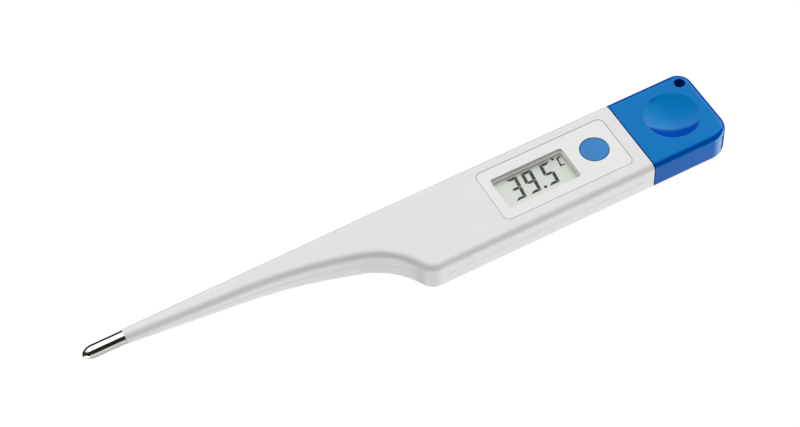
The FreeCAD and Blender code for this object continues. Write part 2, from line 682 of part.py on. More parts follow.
# ---- power button and snap dome --------------------------------------------------------
button = new_body("power_button")
half_cut = new_sketch(button, "button_profile", "XZ_Plane")
flange_top = d.button_flange_z + d.button_flange_thick
line_loop(half_cut, [
    (0, d.plunger_z), (d.plunger_radius, d.plunger_z), (d.plunger_radius, d.button_flange_z),
    (d.button_flange_radius, d.button_flange_z), (d.button_flange_radius, flange_top),
    (d.button_radius, flange_top), (d.button_radius, d.thickness), (0, d.thickness)])
turn(button, half_cut)
soften(button, lambda e: level_at(e, d.thickness.value) and e.Length > 5, 0.22, "button_edge")
button.setExpression("Placement.Base.x", d.button_x.formula)
button.setExpression("Placement.Base.y", d.button_y.formula)

dome = new_body("snap_dome")
half_cut = new_sketch(dome, "dome_profile", "XZ_Plane")
shells = []
for rim, rise in ((d.dome_radius, d.dome_height),
                  (d.dome_radius - d.dome_thick * 1.5, d.dome_height - d.dome_thick)):
    ball = Measure("((%s^2 + %s^2) / (2 * %s))" % (rim.formula, rise.formula, rise.formula),
                   (rim.value ** 2 + rise.value ** 2) / (2 * rise.value))
    middle = Vector(0, rise.value - ball.value, 0)
    top_point, rim_point = Vector(0, rise.value, 0), Vector(rim.value, 0, 0)
    number = half_cut.addGeometry(arc_between(middle, ball.value, rim_point, top_point), False)
    shells.append((number, rim, rise, ball, rim_point, top_point))
outer, inner = shells
crown_line = half_cut.addGeometry(Part.LineSegment(outer[5], inner[5]), False)
foot_line = half_cut.addGeometry(Part.LineSegment(inner[4], outer[4]), False)
tie(half_cut, "Coincident", outer[0], 2, crown_line, 1)
tie(half_cut, "Coincident", crown_line, 2, inner[0], 2)
tie(half_cut, "Coincident", inner[0], 1, foot_line, 1)
tie(half_cut, "Coincident", foot_line, 2, outer[0], 1)
for number, rim, rise, ball, rim_point, top_point in shells:
    pin(half_cut, number, 1, rim, 0)
    pin(half_cut, number, 2, 0, rise)
    hold(half_cut, "Radius", (number,), ball)
turn(dome, half_cut)
dome.setExpression("Placement.Base.x", d.button_x.formula)
dome.setExpression("Placement.Base.y", d.button_y.formula)
dome.setExpression("Placement.Base.z", board_top.formula)

# ---- battery and contacts --------------------------------------------------------------
battery = new_body("battery")
half_cut = new_sketch(battery, "battery_profile", "XZ_Plane")
pole = d.battery_z + 0.22
battery_top = d.battery_z + d.battery_height
line_loop(half_cut, [
    (0, d.battery_z), (d.battery_radius - 0.8, d.battery_z), (d.battery_radius - 0.8, pole),
    (d.battery_radius, pole), (d.battery_radius, battery_top), (0, battery_top)])
turn(battery, half_cut)
soften(battery, lambda e: e.Length > 22 and not level_at(e, d.battery_z.value), 0.18,
       "battery_edges")
battery.setExpression("Placement.Base.x", d.battery_x.formula)

minus = new_body("battery_contact_negative")
bent = new_sketch(minus, "minus_profile", "XZ_Plane")
sheet_z0 = d.battery_z - d.contact_thick
bend_x0 = d.board_x1 - 0.6
bend_x1 = bend_x0 + d.contact_thick
line_loop(bent, [
    (bend_x0, sheet_z0), (d.battery_x + 2.5, sheet_z0), (d.battery_x + 2.5, d.battery_z),
    (bend_x1, d.battery_z), (bend_x1, d.board_z), (bend_x0 - 1.3, d.board_z),
    (bend_x0 - 1.3, d.board_z - d.contact_thick), (bend_x0, d.board_z - d.contact_thick)])
pad(minus, bent, 2.6, both_ways=True)

plus = new_body("battery_contact_positive")
blade = new_sketch(plus, "plus_blade", "XZ_Plane", -d.battery_radius)
blade_z1 = battery_top - 0.5
line_loop(blade, [
    (d.board_x1 - 1.6, board_top), (d.board_x1 - 0.2, board_top),
    (d.board_x1 + 0.5, board_top + 0.4), (d.battery_x + 1.6, board_top + 0.4),
    (d.battery_x + 1.6, blade_z1), (d.board_x1 - 1.6, blade_z1)])
pad(plus, blade, d.contact_thick, backwards=True)
foot = new_sketch(plus, "plus_foot", "XY_Plane", board_top)
box_loop(foot, d.board_x1 - 1.6, d.battery_radius, d.board_x1 - 0.2, d.battery_radius + 1.4)
pad(plus, foot, d.contact_thick)

# ---- battery carrier, which also holds the board ---------------------------------------
carrier = new_body("battery_carrier")
wide = d.carrier_half_width
rails = new_sketch(carrier, "carrier_rails", "XY_Plane", d.carrier_base_z)
soft_box_loop(rails, d.carrier_x0, -wide, d.plug_x0 + 2.0, wide, 0.8)
pad(carrier, rails, d.carrier_top_z - d.carrier_base_z)
block = new_sketch(carrier, "carrier_block", "YZ_Plane", d.plug_x0)
soft_box_loop(block, -wide, d.carrier_base_z, wide, d.collar_top_z, d.collar_round)
pad(carrier, block, d.collar_x1 - d.plug_x0)
tray = new_sketch(carrier, "board_tray", "XY_Plane", d.board_z)
box_loop(tray, d.board_x0 - 0.1, -d.board_half_width - 0.1, d.board_x1 + 0.1,
         d.board_half_width + 0.1)
pocket(carrier, tray, 3.0, backwards=True)
under = new_sketch(carrier, "under_board", "XY_Plane", d.carrier_base_z)
box_loop(under, d.board_x0 + 1.0, -d.board_half_width + 0.9, d.board_x1 - 1.0,
         d.board_half_width - 0.9)
pocket(carrier, under, 3.0, backwards=True)
well = new_sketch(carrier, "battery_well", "XY_Plane", d.battery_z)
circle(well, d.battery_x, 0, d.battery_radius + 0.1)
pocket(carrier, well, 5.0, backwards=True)
slot = new_sketch(carrier, "plus_slot", "XY_Plane", board_top - 0.1)
box_loop(slot, d.board_x1 - 0.1, d.battery_radius - 0.6, d.battery_x + 1.8,
         d.battery_radius + d.contact_thick + 0.1)
pocket(carrier, slot, 3.0, backwards=True)
slot = new_sketch(carrier, "minus_slot", "XY_Plane", d.carrier_base_z)
box_loop(slot, d.board_x1 - 2.2, -1.4, d.battery_x + 2.6, 1.4)
pocket(carrier, slot, d.battery_z - d.carrier_base_z, backwards=True)
slot = new_sketch(carrier, "minus_bend_slot", "XY_Plane", d.carrier_base_z)
box_loop(slot, d.board_x1 - 2.2, -1.4, d.board_x1 - 0.3, 1.4)
pocket(carrier, slot, d.board_z - d.carrier_base_z, backwards=True)
gate = new_sketch(carrier, "wire_gate", "XY_Plane", d.carrier_base_z)
box_loop(gate, d.carrier_x0 - 0.5, -2.6, d.board_x0 + 1.1, 2.6)
pocket(carrier, gate, 4.0, backwards=True)
groove = new_sketch(carrier, "seal_groove", "YZ_Plane", d.seal_x0)
deep = d.seal_depth
soft_box_loop(groove, -wide - 1.0, d.carrier_base_z - 1.0, wide + 1.0, d.collar_top_z + 1.0, 1.0)
soft_box_loop(groove, -wide + deep, d.carrier_base_z + deep, wide - deep,
              d.collar_top_z - deep, d.collar_round - deep)
pocket(carrier, groove, d.seal_width, backwards=True)

seal = new_body("cap_seal")
reach = measure(0.13)
ring = new_sketch(seal, "seal_ring", "YZ_Plane", d.seal_x0)
soft_box_loop(ring, -wide - reach, d.carrier_base_z - reach, wide + reach,
              d.collar_top_z + reach, d.collar_round + reach)
soft_box_loop(ring, -wide + deep, d.carrier_base_z + deep, wide - deep,
              d.collar_top_z - deep, d.collar_round - deep)
pad(seal, ring, d.seal_width)
outer_y = (wide + reach).value


def outer_seal_edge(edge):
    """True for the edges of the seal that lie on its outer face."""
    box = edge.BoundBox
    return box.XLength < 1e-4 and (
        max(abs(box.YMin), abs(box.YMax)) > outer_y - 1e-3
        or box.ZMax > d.collar_top_z.value + 0.1 or box.ZMin < d.carrier_base_z.value - 0.1)


soften(seal, outer_seal_edge, 0.3, "seal_lip")

# ---- battery cap -----------------------------------------------------------------------
cap = new_body("battery_cap")
cap_x0 = d.split_x + d.cap_gap
outline = new_sketch(cap, "cap_outline")
box_loop(outline, cap_x0, d.near_y, d.cap_end_x, d.far_y)
pad(cap, outline, d.thickness)
for side, corner, name in ((1, d.cap_corner, "far_corner"), (-1, d.cap_near_corner, "near_corner")):
    soften(cap, lambda e: upright(e) and e.CenterOfMass.x > 60 and e.CenterOfMass.y * side > 0,
           corner, name)
front = cap_x0.value + 0.5
top_z = d.thickness.value
soften(cap, lambda e: level_at(e, top_z) and e.CenterOfMass.x > front, d.top_round, "cap_top")
soften(cap, lambda e: level_at(e, 0) and e.CenterOfMass.x > front, d.bottom_round, "cap_base")
socket = new_sketch(cap, "cap_socket", "YZ_Plane", d.split_x)
wide = d.socket_half_width
soft_box_loop(socket, -wide, d.socket_z0, wide, d.socket_z1, 1.15)
pocket(cap, socket, d.socket_x1 - d.split_x, backwards=True)
core = new_sketch(cap, "cap_core", "YZ_Plane", d.socket_x1 - 0.2)
wide = d.cap_core_half_width
soft_box_loop(core, -wide, d.socket_z0 + 0.2, wide, d.cap_core_z1, 0.8)
pocket(cap, core, d.cap_core_x1 - d.socket_x1 + 0.2, backwards=True)
ball = (d.dimple_radius.value ** 2 + d.dimple_depth.value ** 2) / (2 * d.dimple_depth.value)
ball = Measure("((Dims.dimple_radius^2 + Dims.dimple_depth^2) / (2 * Dims.dimple_depth))", ball)
dimple = cap.newObject("PartDesign::SubtractiveSphere", "thumb_dimple")
dimple.setExpression("Radius", ball.formula)
dimple.setExpression("Placement.Base.x", d.dimple_x.formula)
dimple.setExpression("Placement.Base.z", (d.thickness - d.dimple_depth + ball).formula)
doc.recompute()


def dimple_rim(edge):
    """True for the circle where the dimple meets the top of the cap."""
    ring = abs(edge.Length - 2 * math.pi * d.dimple_radius.value) < 0.3
    return ring and level_at(edge, top_z)


soften(cap, dimple_rim, 0.3, "dimple_edge")
hole = new_sketch(cap, "lanyard_hole", "XY_Plane", d.thickness)
circle(hole, d.lanyard_x, d.lanyard_y, d.lanyard_radius)
pocket(cap, hole, d.thickness + 0.5)

# ---- metal tip, sensor and leads -------------------------------------------------------
def nose_profile(sketch, start_x, radius, inset, hollow):
    """Half section of the tip: a tube that closes in a long nose, along the sketch X axis."""
    nose_x = d.nose_x - d.stem_end_x + d.tip_nose_radius
    nose = Vector(nose_x.value, 0, 0)
    r1 = d.tip_side_radius.value
    r2 = d.tip_nose_radius.value
    low = d.tip_radius.value - r1
    side = Vector(nose.x + math.sqrt((r1 - r2) ** 2 - low ** 2), low, 0)
    lean = (nose - side).normalize()

    def skin(cut_back):
        bend = Vector(side.x, side.y + r1 - cut_back, 0)
        joint = side + lean * (r1 - cut_back)
        end = nose - Vector(r2 - cut_back, 0, 0)
        first = arc_between(side, r1 - cut_back, bend, joint)
        second = arc_between(nose, r2 - cut_back, joint, end)
        return bend, end, first, second

    bend, end, first, second = skin(inset.value)
    start = Vector(start_x.value, bend.y, 0)
    sketch.addGeometry(Part.LineSegment(start, bend), False)
    sketch.addGeometry(first, False)
    sketch.addGeometry(second, False)
    tie(sketch, "Tangent", 0, 2, 1, 1)
    tie(sketch, "Tangent", 1, 2, 2, 1)
    sketch.addConstraint(Sketcher.Constraint("Horizontal", 0))
    pin(sketch, 0, 1, start_x, radius - inset)
    hold(sketch, "Radius", (1,), d.tip_side_radius - inset)
    hold(sketch, "Radius", (2,), d.tip_nose_radius - inset)
    pin(sketch, 2, 3, nose_x, 0)
    hold(sketch, "DistanceY", (-1, 1, 2, 2), 0)
    if not hollow:
        foot = Vector(start_x.value, 0, 0)
        sketch.addGeometry(Part.LineSegment(end, foot), False)
        sketch.addGeometry(Part.LineSegment(foot, start), False)
        tie(sketch, "Coincident", 2, 2, 3, 1)
        tie(sketch, "Coincident", 3, 2, 4, 1)
        tie(sketch, "Coincident", 4, 2, 0, 1)
        sketch.addConstraint(Sketcher.Constraint("Horizontal", 3))
        sketch.addConstraint(Sketcher.Constraint("Vertical", 4))
        return
    inner = inset + d.tip_sheet
    bend_in, end_in, first_in, second_in = skin(inner.value)
    start_in = Vector(start_x.value, bend_in.y, 0)
    sketch.addGeometry(Part.LineSegment(start_in, bend_in), False)
    sketch.addGeometry(first_in, False)
    sketch.addGeometry(second_in, False)
    sketch.addGeometry(Part.LineSegment(end, end_in), False)
    sketch.addGeometry(Part.LineSegment(start_in, start), False)
    tie(sketch, "Tangent", 3, 2, 4, 1)
    tie(sketch, "Tangent", 4, 2, 5, 1)
    tie(sketch, "Coincident", 2, 2, 6, 1)
    tie(sketch, "Coincident", 6, 2, 5, 2)
    tie(sketch, "Coincident", 3, 1, 7, 1)
    tie(sketch, "Coincident", 7, 2, 0, 1)
    tie(sketch, "Coincident", 5, 3, 2, 3)
    for level_line in (3, 6):
        sketch.addConstraint(Sketcher.Constraint("Horizontal", level_line))
    sketch.addConstraint(Sketcher.Constraint("Vertical", 7))
    hold(sketch, "DistanceY", (-1, 1, 3, 1), radius - inner)
    hold(sketch, "Radius", (4,), d.tip_side_radius - inner)
    hold(sketch, "Radius", (5,), d.tip_nose_radius - inner)


def at_stem_end(body):
    body.setExpression("Placement.Base.x", d.stem_end_x.formula)
    body.setExpression("Placement.Base.y", d.tip_y.formula)
    body.setExpression("Placement.Base.z", d.tip_z.formula)


tip_cap = new_body("tip_cap")
half_cut = new_sketch(tip_cap, "tip_profile", "XZ_Plane")
nose_profile(half_cut, measure(-0.06), d.tip_radius, measure(0), True)
turn(tip_cap, half_cut, "H_Axis")
at_stem_end(tip_cap)

bead = new_body("thermistor")
half_cut = new_sketch(bead, "bead_profile", "XZ_Plane")
bead_x1 = (d.nose_x - d.stem_end_x).value + 2.9
bead_x0 = bead_x1 - d.bead_length.value
line_loop(half_cut, [(bead_x0, 0), (bead_x0, d.bead_radius), (bead_x1, d.bead_radius), (bead_x1, 0)])
turn(bead, half_cut, "H_Axis")
soften(bead, lambda e: e.BoundBox.XLength < 1e-4, 0.3, "bead_ends")
at_stem_end(bead)
doc.recompute()


def wire(name, points, radius):
    """A round wire along straight runs joined by tangent arcs."""
    points = [Vector(*point) for point in points]
    edges = []
    cursor = points[0]
    for before, corner, after in zip(points[:-2], points[1:-1], points[2:]):
        back = before - corner
        ahead = after - corner
        setback = 0.45 * min(back.Length, ahead.Length)
        back.normalize()
        ahead.normalize()
        half_turn = (math.pi - back.getAngle(ahead)) / 2
        bend = setback / math.tan(half_turn)
        inward = (back + ahead).normalize()
        middle = corner + inward * (bend / math.cos(half_turn) - bend)
        start, end = corner + back * setback, corner + ahead * setback
        edges.append(Part.LineSegment(cursor, start).toShape())
        edges.append(Part.Arc(start, middle, end).toShape())
        cursor = end
    edges.append(Part.LineSegment(cursor, points[-1]).toShape())
    spine = Part.Wire(edges)
    section = Part.Wire([Part.makeCircle(radius, points[0], points[1] - points[0])])
    swept = spine.makePipeShell([section], True, False)
    expected = math.pi * radius ** 2 * spine.Length
    if abs(swept.Volume - expected) > 0.02 * expected:
        raise RuntimeError("%s has the volume %.3f, not %.3f" % (name, swept.Volume, expected))
    feature = doc.addObject("Part::Feature", name)
    feature.Label = name
    feature.Shape = swept
    return feature


def lead_points(side):
    """Way of one sensor lead: bead, spigot, slanting channel, then down on to the board."""
    stem_x, stem_y, stem_z = d.stem_end_x.value, d.tip_y.value, d.tip_z.value
    shift = side * d.lead_pitch.value * 0.5
    bend_x, bend_y, bend_z = d.seam_bend_x.value, d.channel_y.value, d.channel_z.value
    landing = board_top.value + d.lead_radius.value
    return [
        (stem_x + bead_x1, stem_y + shift, stem_z),
        (stem_x, stem_y + shift, stem_z),
        (bend_x + 1.0, bend_y - 0.07 + shift, bend_z - 0.03),
        (2.0, 3.0 + shift * 1.5, 3.62),
        (12.5, 1.2 + shift * 2.4, landing + 0.25),
        (14.6, 1.0 + shift * 2.6, landing),
        (16.4, 1.0 + shift * 2.6, landing)]


lead_near = wire("thermistor_lead_near", lead_points(-1), d.lead_radius.value)
lead_far = wire("thermistor_lead_far", lead_points(1), d.lead_radius.value)

fill = new_body("potting_fill")
half_cut = new_sketch(fill, "potting_profile", "XZ_Plane")
nose_profile(half_cut, -d.spigot_length - 0.05, d.tip_radius, d.tip_sheet, False)
turn(fill, half_cut, "H_Axis")
at_stem_end(fill)
doc.recompute()
sensor = doc.addObject("Part::Compound", "sensor_in_potting")
sensor.Links = [bead, lead_near, lead_far]
potting = doc.addObject("Part::Cut", "tip_potting")
potting.Label = "tip_potting"
potting.Base = fill
potting.Tool = sensor

# ---- buzzer ----------------------------------------------------------------------------
buzzer = new_body("buzzer_plate")
disc = new_sketch(buzzer, "buzzer_disc", "XY_Plane", d.wall)
circle(disc, d.buzzer_x, 0, d.buzzer_radius)
pad(buzzer, disc, d.buzzer_thick)
ceramic = new_body("buzzer_ceramic")
disc = new_sketch(ceramic, "ceramic_disc", "XY_Plane", d.wall + d.buzzer_thick)
circle(disc, d.buzzer_x, 0, d.ceramic_radius)
pad(ceramic, disc, d.ceramic_thick)
plate_z = d.wall.value + d.buzzer_thick.value + 0.15
ceramic_z = plate_z + d.ceramic_thick.value
solder_z = d.board_z.value - 0.15
wire_a = wire("buzzer_wire_plate", [
    (9.4, 0.9, plate_z), (9.8, 0.92, plate_z), (11.4, 1.0, solder_z - 0.04),
    (13.6, 1.2, solder_z - 0.01), (15.4, 1.4, solder_z - 0.01)], 0.15)
wire_b = wire("buzzer_wire_ceramic", [
    (7.6, -1.0, ceramic_z), (8.9, -1.0, ceramic_z), (11.4, -1.1, solder_z - 0.08),
    (13.4, -1.25, solder_z - 0.01), (15.4, -1.4, solder_z - 0.01)], 0.15)
doc.recompute()

# ---- check and write -------------------------------------------------------------------
nodes = [upper, lower, panel, lens, cell, reflector, strip, frame, board, blob, chips, button, dome,
         battery, minus, plus, carrier, seal, cap, tip_cap, bead, lead_near, lead_far, potting,
         buzzer, ceramic, wire_a, wire_b]
for item in doc.Objects:
    if "Invalid" in item.State or "Error" in item.State:
        raise RuntimeError("%s is in state %s" % (item.Name, item.State))
os.makedirs("parts", exist_ok=True)
middle_x = (d.nose_x + d.cap_end_x).value / 2
middle_y = (d.near_y + d.far_y).value / 2
for node in nodes:
    shape = node.Shape.copy()
    shape.translate(Vector(-middle_x, -middle_y, 0))
    if shape.isNull() or not shape.isValid() or shape.Volume <= 0:
        raise RuntimeError("%s has no valid shape" % node.Label)
    shape.exportStep("parts/%s.step" % node.Label)
    print("%-26s %9.3f mm3  %d solid(s)" % (node.Label, shape.Volume, len(shape.Solids)))
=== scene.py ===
import json
import math

import bmesh
import bpy
from mathutils import Matrix, Vector


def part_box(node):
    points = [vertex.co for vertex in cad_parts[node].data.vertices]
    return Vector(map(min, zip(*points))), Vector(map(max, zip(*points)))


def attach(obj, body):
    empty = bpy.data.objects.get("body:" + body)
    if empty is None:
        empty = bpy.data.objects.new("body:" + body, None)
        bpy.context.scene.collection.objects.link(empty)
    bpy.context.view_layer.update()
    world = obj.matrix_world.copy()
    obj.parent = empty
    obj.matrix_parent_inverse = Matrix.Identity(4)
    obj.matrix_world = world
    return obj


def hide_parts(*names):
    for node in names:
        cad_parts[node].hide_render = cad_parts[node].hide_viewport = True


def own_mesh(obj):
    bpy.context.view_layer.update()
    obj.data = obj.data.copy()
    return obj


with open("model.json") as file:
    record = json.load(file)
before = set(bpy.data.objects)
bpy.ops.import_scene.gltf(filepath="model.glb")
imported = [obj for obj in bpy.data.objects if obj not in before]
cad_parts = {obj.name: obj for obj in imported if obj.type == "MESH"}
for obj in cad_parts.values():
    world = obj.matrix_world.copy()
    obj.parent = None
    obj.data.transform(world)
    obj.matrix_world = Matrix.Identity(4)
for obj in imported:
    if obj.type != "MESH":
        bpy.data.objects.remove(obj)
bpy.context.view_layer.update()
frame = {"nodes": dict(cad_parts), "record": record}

MM = 0.001
nodes = frame["nodes"]


# ---- material building blocks ------------------------------------------------------------
class Shader:
    """One node material, put together step by step in object coordinates (metres)."""

    def __init__(self, name):
        self.material = bpy.data.materials.new(name)
        self.material.use_nodes = True
        self.tree = self.material.node_tree
        self.tree.nodes.clear()
        self.output = self.node("ShaderNodeOutputMaterial")
        self.place = self.node("ShaderNodeTexCoord").outputs["Object"]

    def node(self, kind, **settings):
        made = self.tree.nodes.new(kind)
        for key, value in settings.items():
            setattr(made, key, value)
        return made

    def feed(self, value, socket):
        """Link a socket, or set a plain value."""
        if isinstance(value, bpy.types.NodeSocket):
            self.tree.links.new(value, socket)
        else:
            socket.default_value = value

    def noise(self, size, detail=2.0, rough=0.5, stretch=(1, 1, 1), turn=0.0, shift=0.0):
        """Noise whose features are about `size` metres, optionally drawn out and turned about Z."""
        mapping = self.node("ShaderNodeMapping")
        mapping.inputs["Rotation"].default_value = (0, 0, turn)
        mapping.inputs["Location"].default_value = (shift, shift * 0.7, shift * 0.3)
        mapping.inputs["Scale"].default_value = [1 / factor for factor in stretch]
        self.feed(self.place, mapping.inputs["Vector"])
        cloud = self.node("ShaderNodeTexNoise")
        cloud.inputs["Scale"].default_value = 1 / size
        cloud.inputs["Detail"].default_value = detail
        cloud.inputs["Roughness"].default_value = rough
        self.feed(mapping.outputs["Vector"], cloud.inputs["Vector"])
        return cloud.outputs["Fac"]

    def math(self, operation, first, second=0.0, clamp=False):
        made = self.node("ShaderNodeMath", operation=operation, use_clamp=clamp)
        self.feed(first, made.inputs[0])
        self.feed(second, made.inputs[1])
        return made.outputs[0]

    def span(self, value, low, high, out_low=0.0, out_high=1.0):
        """Smooth remap of low..high to out_low..out_high."""
        made = self.node("ShaderNodeMapRange", interpolation_type="SMOOTHSTEP")
        self.feed(value, made.inputs["Value"])
        for key, number in (("From Min", low), ("From Max", high), ("To Min", out_low),
                            ("To Max", out_high)):
            made.inputs[key].default_value = number
        return made.outputs["Result"]

    def blend(self, share, first, second):
        """Mix of two colours."""
        made = self.node("ShaderNodeMix", data_type="RGBA")
        self.feed(share, made.inputs[0])
        for value, socket in ((first, made.inputs[6]), (second, made.inputs[7])):
            self.feed(value if isinstance(value, bpy.types.NodeSocket) else (*value, 1.0), socket)
        return made.outputs[2]

    def scratches(self, size, length, turn, width, shift):
        """Fine broken hairlines: 1 on a line, 0 off it."""
        field = self.noise(size, 1.0, 0.5, (length, 1, 1), turn, shift)
        line = self.math("ABSOLUTE", self.math("SUBTRACT", field, 0.5))
        thin = self.span(line, 0.0, width, 1.0, 0.0)
        patchy = self.span(self.noise(size * 14, 2.0, 0.6, (1, 1, 1), 0.0, shift + 3), 0.52, 0.66)
        return self.math("MULTIPLY", thin, patchy)

    def bump(self, height, depth, before=None):
        made = self.node("ShaderNodeBump")
        made.inputs["Strength"].default_value = 1.0
        made.inputs["Distance"].default_value = depth
        self.feed(height, made.inputs["Height"])
        if before is not None:
            self.feed(before, made.inputs["Normal"])
        return made.outputs["Normal"]

    def finish(self, shader):
        self.feed(shader, self.output.inputs["Surface"])
        return self.material


def tinted(colour, factor):
    return tuple(min(1.0, channel * factor) for channel in colour)


def solid(name, colour, rough, vary=0.03, cloud=7 * MM, grain=0.16 * MM, depth=1.2e-6,
          wave=4 * MM, wave_depth=2e-6, rough_spread=0.06, specular=0.5,
          scratch=0.0, scratch_tone=1.12, coat=0.0, dirt=0.0, dirt_colour=(0.3, 0.28, 0.25),
          sheen_tint=(1.0, 1.0, 1.0), painted_shade_x=None):
    """A moulded or sheet surface: clouded colour, uneven gloss, moulded grain, wear lines.

    An open edge can be given by its x: its first 0.2 mm is painted dark with its gloss cut, a painted
    shadow along the gap."""
    s = Shader(name)
    broad = s.noise(cloud, 4.0, 0.55)
    fine = s.noise(grain, 2.0, 0.6, shift=5.0)
    tone = s.math("ADD", s.math("MULTIPLY", broad, 0.7), s.math("MULTIPLY", fine, 0.3))
    colour_out = s.blend(s.span(tone, 0.3, 0.7), tinted(colour, 1 - vary), tinted(colour, 1 + vary))
    smudge = s.noise(cloud * 0.55, 5.0, 0.62, shift=11.0)
    rough_out = s.span(smudge, 0.32, 0.68, rough - rough_spread, rough + rough_spread)
    height = fine
    if dirt > 0:
        speck = s.span(s.noise(0.35 * MM, 3.0, 0.7, shift=23.0), 0.68, 0.78, 0.0, dirt)
        colour_out = s.blend(speck, colour_out, dirt_colour)
    if scratch > 0:
        lines = s.math("MAXIMUM", s.scratches(0.5 * MM, 26, 0.35, 0.012, 1.0),
                       s.scratches(0.4 * MM, 20, -0.9, 0.012, 7.0))
        lines = s.math("MAXIMUM", lines, s.scratches(0.45 * MM, 22, 1.35, 0.01, 13.0))
        colour_out = s.blend(s.math("MULTIPLY", lines, scratch), colour_out,
                             tinted(colour, scratch_tone))
        rough_out = s.math("ADD", rough_out, s.math("MULTIPLY", lines, 0.5 * scratch))
        height = s.math("SUBTRACT", fine, s.math("MULTIPLY", lines, 0.5 * scratch))
    gloss = specular
    # Painted shade: near the open edge the colour turns dark navy and the gloss fades out, standing for
    # the shadow in the gap.
    if painted_shade_x is not None:
        split = s.node("ShaderNodeSeparateXYZ")
        s.feed(s.place, split.inputs[0])
        ragged = s.math("ADD", split.outputs[0], s.math("MULTIPLY", fine, 0.05 * MM))
        shade = s.span(ragged, painted_shade_x + 0.14 * MM, painted_shade_x + 0.24 * MM, 0.85, 0.0)
        colour_out = s.blend(shade, colour_out, (0.002, 0.008, 0.06))
        gloss = s.math("MULTIPLY", s.math("SUBTRACT", 1.0, shade), specular)
    normal = s.bump(s.noise(wave, 2.0, 0.5, shift=17.0), wave_depth)
    normal = s.bump(height, depth, normal)
    skin = s.node("ShaderNodeBsdfPrincipled")
    s.feed(gloss, skin.inputs["Specular IOR Level"])
    skin.inputs["Specular Tint"].default_value = (*sheen_tint, 1.0)
    skin.inputs["Coat Weight"].default_value = coat
    s.feed(colour_out, skin.inputs["Base Color"])
    s.feed(rough_out, skin.inputs["Roughness"])
    s.feed(normal, skin.inputs["Normal"])
    return s.finish(skin.outputs["BSDF"])


def clear(name, tint, rough, share, haze=0.0, window=None):
    """Clear sheet that doesn't bend what lies below it: see-through, with a real surface gloss.

    Past the edges of `window` (low corner, high corner) it is printed light grey, and a little glow
    there stands for the light that the clear sheet carries to its edges."""
    s = Shader(name)
    smudge = s.noise(3.5 * MM, 5.0, 0.6, shift=2.0)
    fog = s.span(smudge, 0.45, 0.75, 0.0, haze)
    through = s.node("ShaderNodeBsdfTransparent")
    s.feed(s.blend(s.noise(9 * MM, 3.0, 0.5), tint, tinted(tint, 0.985)), through.inputs["Color"])
    gloss = s.node("ShaderNodeBsdfPrincipled")
    gloss.inputs["Base Color"].default_value = (0.8, 0.82, 0.8, 1)
    s.feed(s.span(smudge, 0.35, 0.7, rough * 0.6, rough * 1.6), gloss.inputs["Roughness"])
    s.feed(s.bump(s.noise(2.5 * MM, 2.0, 0.5), 1e-6), gloss.inputs["Normal"])
    facing = s.node("ShaderNodeFresnel")
    facing.inputs["IOR"].default_value = 1.45
    part = s.math("ADD", s.math("MULTIPLY", facing.outputs[0], share), fog, clamp=True)
    both = s.node("ShaderNodeMixShader")
    s.feed(part, both.inputs[0])
    s.feed(through.outputs[0], both.inputs[1])
    s.feed(gloss.outputs["BSDF"], both.inputs[2])
    if window is None:
        return s.finish(both.outputs[0])
    split = s.node("ShaderNodeSeparateXYZ")
    s.feed(s.place, split.inputs[0])
    past = 0.0
    for axis in (0, 1):
        middle, half = (window[0][axis] + window[1][axis]) / 2, (window[1][axis] - window[0][axis]) / 2
        away = s.math("ABSOLUTE", s.math("SUBTRACT", split.outputs[axis], middle))
        past = s.math("MAXIMUM", past, s.span(away, half + 0.01 * MM, half + 0.06 * MM))
    border = s.node("ShaderNodeBsdfPrincipled")
    print_tone = s.blend(s.noise(1.5 * MM, 3.0, 0.5, shift=9.0), (0.60, 0.61, 0.59), (0.66, 0.67, 0.65))
    s.feed(print_tone, border.inputs["Base Color"])
    border.inputs["Roughness"].default_value = 0.5
    border.inputs["Emission Color"].default_value = (0.96, 1.0, 0.95, 1)
    border.inputs["Emission Strength"].default_value = 0.24
    edged = s.node("ShaderNodeMixShader")
    s.feed(past, edged.inputs[0])
    s.feed(both.outputs[0], edged.inputs[1])
    s.feed(border.outputs["BSDF"], edged.inputs[2])
    return s.finish(edged.outputs[0])


def brushed(name, colour, rough, axis, depth=6e-7, spread=0.08, vary=0.06):
    """Drawn or turned metal with fine lines round or along an axis (0 for X, 1 for Y, 2 for Z)."""
    s = Shader(name)
    across, along = 0.12, 5.0
    stretch = [across, across, across]
    stretch[axis] = along
    lines = s.noise(0.6 * MM, 3.0, 0.6, stretch)
    stain = s.noise(2.2 * MM, 4.0, 0.6, shift=4.0)
    skin = s.node("ShaderNodeBsdfPrincipled")
    skin.inputs["Metallic"].default_value = 1.0
    s.feed(s.blend(s.span(stain, 0.35, 0.65), tinted(colour, 1 - vary), colour),
           skin.inputs["Base Color"])
    s.feed(s.math("ADD", s.span(stain, 0.3, 0.7, rough, rough + spread),
                  s.math("MULTIPLY", lines, 0.04)), skin.inputs["Roughness"])
    s.feed(s.bump(lines, depth), skin.inputs["Normal"])
    return s.finish(skin.outputs["BSDF"])


def circuit(name):
    """Green solder mask with the copper tracks showing faintly through it."""
    s = Shader(name)
    cells = s.node("ShaderNodeTexVoronoi", distance="CHEBYCHEV", feature="DISTANCE_TO_EDGE")
    cells.inputs["Scale"].default_value = 650.0
    s.feed(s.place, cells.inputs["Vector"])
    track = s.span(cells.outputs["Distance"], 0.10, 0.14, 1.0, 0.0)
    base = s.blend(s.noise(3 * MM, 3.0, 0.5), (0.012, 0.13, 0.06), (0.02, 0.17, 0.08))
    skin = s.node("ShaderNodeBsdfPrincipled")
    s.feed(s.blend(track, base, (0.04, 0.30, 0.13)), skin.inputs["Base Color"])
    s.feed(s.span(s.noise(2 * MM, 3.0, 0.5, shift=3.0), 0.3, 0.7, 0.25, 0.4),
           skin.inputs["Roughness"])
    s.feed(s.bump(track, 1.5e-5), skin.inputs["Normal"])
    return s.finish(skin.outputs["BSDF"])


